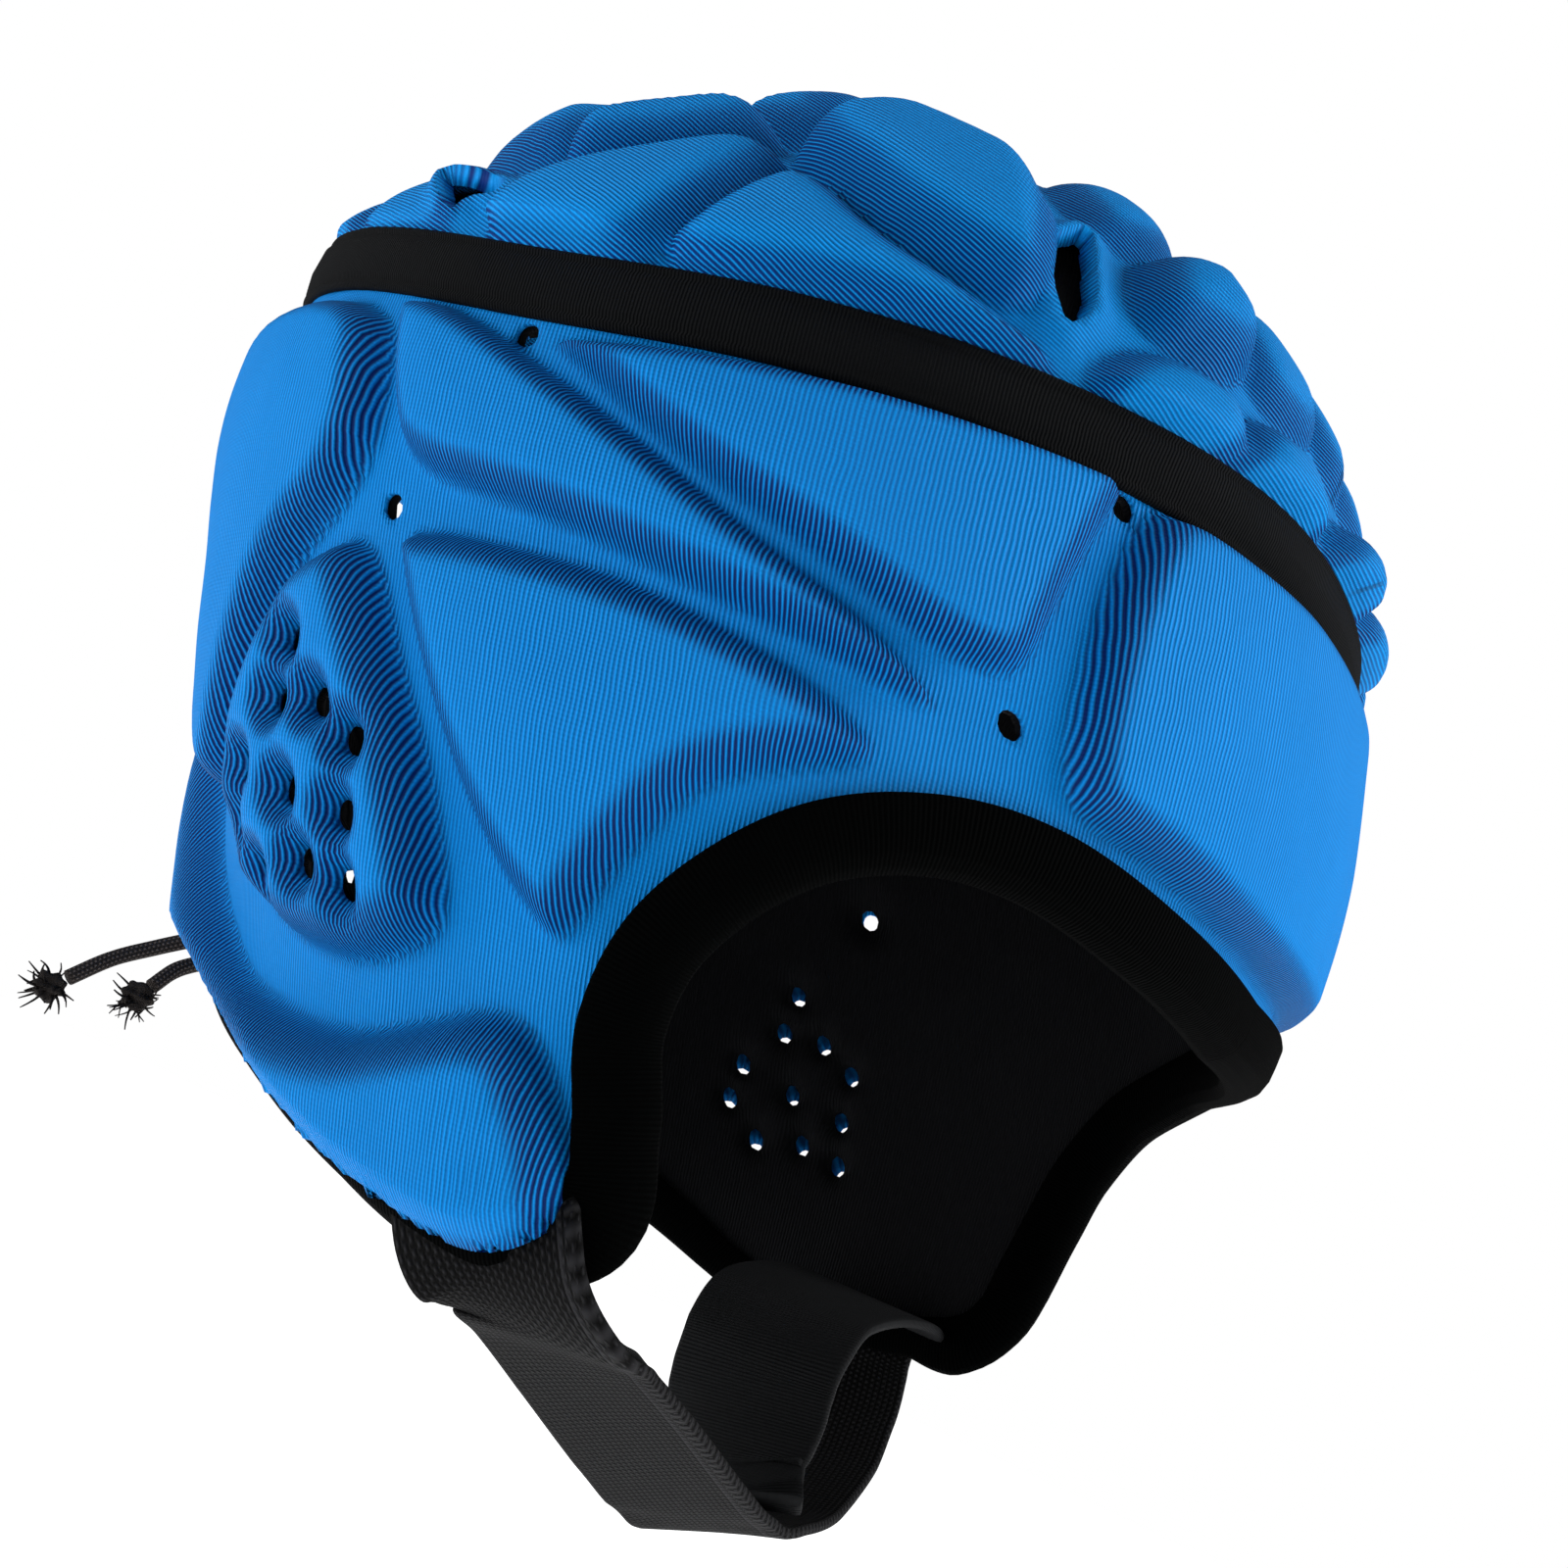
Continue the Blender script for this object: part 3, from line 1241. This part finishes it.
def build_back_lace():
    """The lacing over the slit."""
    first, last = SLIT_TOP + 6.6, .6 * BAND_DEPTH
    turns = 9
    route = []
    for i in range(turns):
        height = -(first + (last - first) * i / (turns - 1))
        offset = 15 / HALF_LENGTH / math.pi * 180 * (-1 if i % 2 else 1)
        route.append(raised(np.array([180 + offset]), np.array([height]),
                            np.array([2.4]))[0])
    lace, _ = tube("back_lace_cord", route, LACE_DIAMETER / 2, 10, 1.0, 220)
    finish_piece(lace, CORD_GREY, "back_lace")


def build_knot(name, route, node, seed):
    """Frayed knot: a soft lump and a spray of loose strands."""
    end = np.array(route[-1], float)
    aim = unit(end - np.array(route[-2], float))
    random = np.random.default_rng(seed)
    mesh = bmesh.new()
    bmesh.ops.create_icosphere(mesh, subdivisions=4, radius=1)
    centre = end + aim * 3.6
    for vertex in mesh.verts:
        spot = np.array(vertex.co)
        size = 2.7 + .5 * math.sin(5 * spot[0] + 3) * math.cos(4 * spot[1] + seed)
        size += .35 * math.sin(9 * spot[2] + seed)
        vertex.co = Vector(metres([centre + spot * size])[0])
    for strand in range(34):
        direction = unit(aim * .5 + random.normal(0, .75, 3))
        reach = random.uniform(1.2, 3.4)
        bend = random.normal(0, 1.1, 3)
        root = centre + unit(direction) * 2.2
        spine = [root + direction * reach * t + bend * t * t for t in (0, .35, .7, 1)]
        add_strand(mesh, spine, random.uniform(.25, .42))
    data = bpy.data.meshes.new(name)
    mesh.to_mesh(data)
    mesh.free()
    for polygon in data.polygons:
        polygon.use_smooth = True
    data.uv_layers.new(name="flat_map")
    knot = bpy.data.objects.new(name, data)
    bpy.context.scene.collection.objects.link(knot)
    finish_piece(knot, CORD_GREY, node)
    return knot


def add_strand(mesh, spine, radius):
    """Adds one thin, tapering strand to a mesh."""
    spine = smooth_curve(spine, 7)
    run = tangents(spine)
    side = unit(np.cross(run, np.array([.3, .5, .8])))
    up = unit(np.cross(side, run))
    rings = []
    for index, (point, s, u) in enumerate(zip(spine, side, up)):
        size = radius * (1 - .6 * index / 6)
        rings.append([mesh.verts.new(metres([point + (s * math.cos(t) + u * math.sin(t))
                                             * size])[0]) for t in (0, 2.094, 4.189)])
    for low, high in zip(rings, rings[1:]):
        for i in range(3):
            mesh.faces.new((low[i], low[(i + 1) % 3], high[(i + 1) % 3], high[i]))
    mesh.faces.new(rings[0][::-1])
    mesh.faces.new(rings[-1])


def build_lace_end(name, node, route):
    """A free end of the lace with its frayed knot, declared as a cord."""
    cord, points = tube(name, route, LACE_DIAMETER / 2, 12, 1.0, 60)
    finish_piece(cord, CORD_GREY, node)


build_back_lace()
KNOT_UPPER = build_knot("frayed_knot_upper", LACE_UPPER, "lace_knot_upper", 3)
KNOT_LOWER = build_knot("frayed_knot_lower", LACE_LOWER, "lace_knot_lower", 8)
build_lace_end("lace_end_cord_upper", "lace_end_upper", LACE_UPPER)
build_lace_end("lace_end_cord_lower", "lace_end_lower", LACE_LOWER)

# %% [markdown]
# ## Floor and light
# A white floor and soft, wide lamps give the even light of a product shot. The front lamp
# stands high and strong, the side lamp low and weaker, so the flanks of the pads still show,
# and a dim white world keeps the creases from going black.

# %% Floor and light
FLOOR_HEIGHT = -.36
WORLD_LIGHT = .2


def build_stage():
    """White floor under the cap and a white world."""
    mesh = bmesh.new()
    bmesh.ops.create_circle(mesh, cap_ends=True, segments=96, radius=6)
    data = bpy.data.meshes.new("floor")
    mesh.to_mesh(data)
    mesh.free()
    floor = bpy.data.objects.new("floor", data)
    floor.location = (0, 0, FLOOR_HEIGHT)
    bpy.context.scene.collection.objects.link(floor)
    paper = bpy.data.materials.new("white_paper")
    paper.use_nodes = True
    shader = paper.node_tree.nodes["Principled BSDF"]
    shader.inputs["Base Color"].default_value = (.9, .9, .9, 1)
    shader.inputs["Roughness"].default_value = .9
    shader.inputs["Emission Color"].default_value = (1, 1, 1, 1)
    shader.inputs["Emission Strength"].default_value = 1.0
    data.materials.append(paper)
    bpy.context.scene.view_settings.view_transform = "Standard"
    build_world()


def build_world():
    """White world that the camera sees bright and the cap sees dim."""
    world = bpy.data.worlds.new("white_world")
    world.use_nodes = True
    tree = world.node_tree
    tree.nodes.clear()
    rays = add(tree.nodes, "ShaderNodeLightPath")
    seen = add(tree.nodes, "ShaderNodeBackground")
    seen.inputs[0].default_value = (1, 1, 1, 1)
    seen.inputs[1].default_value = 1.0
    soft = add(tree.nodes, "ShaderNodeBackground")
    soft.inputs[0].default_value = (1, 1, 1, 1)
    soft.inputs[1].default_value = WORLD_LIGHT
    both = add(tree.nodes, "ShaderNodeMixShader")
    out = add(tree.nodes, "ShaderNodeOutputWorld")
    tree.links.new(rays.outputs["Is Camera Ray"], both.inputs[0])
    tree.links.new(soft.outputs[0], both.inputs[1])
    tree.links.new(seen.outputs[0], both.inputs[2])
    tree.links.new(both.outputs[0], out.inputs[0])
    bpy.context.scene.world = world


def lamp(name, place, aim, size, power):
    """Square area lamp that looks at a point."""
    light = bpy.data.lights.new(name, "AREA")
    light.size = size
    light.energy = power
    thing = bpy.data.objects.new(name, light)
    thing.location = place
    look = Vector(aim) - Vector(place)
    thing.rotation_euler = look.to_track_quat("-Z", "Y").to_euler()
    bpy.context.scene.collection.objects.link(thing)


build_stage()
lamp("front_lamp", (.45, -1.15, .6), (0, 0, -.06), .8, 20)
lamp("side_lamp", (-.95, .9, .05), (0, 0, -.08), .8, 10)
lamp("top_lamp", (-.3, -.1, 1.3), (0, 0, -.08), .9, 3)
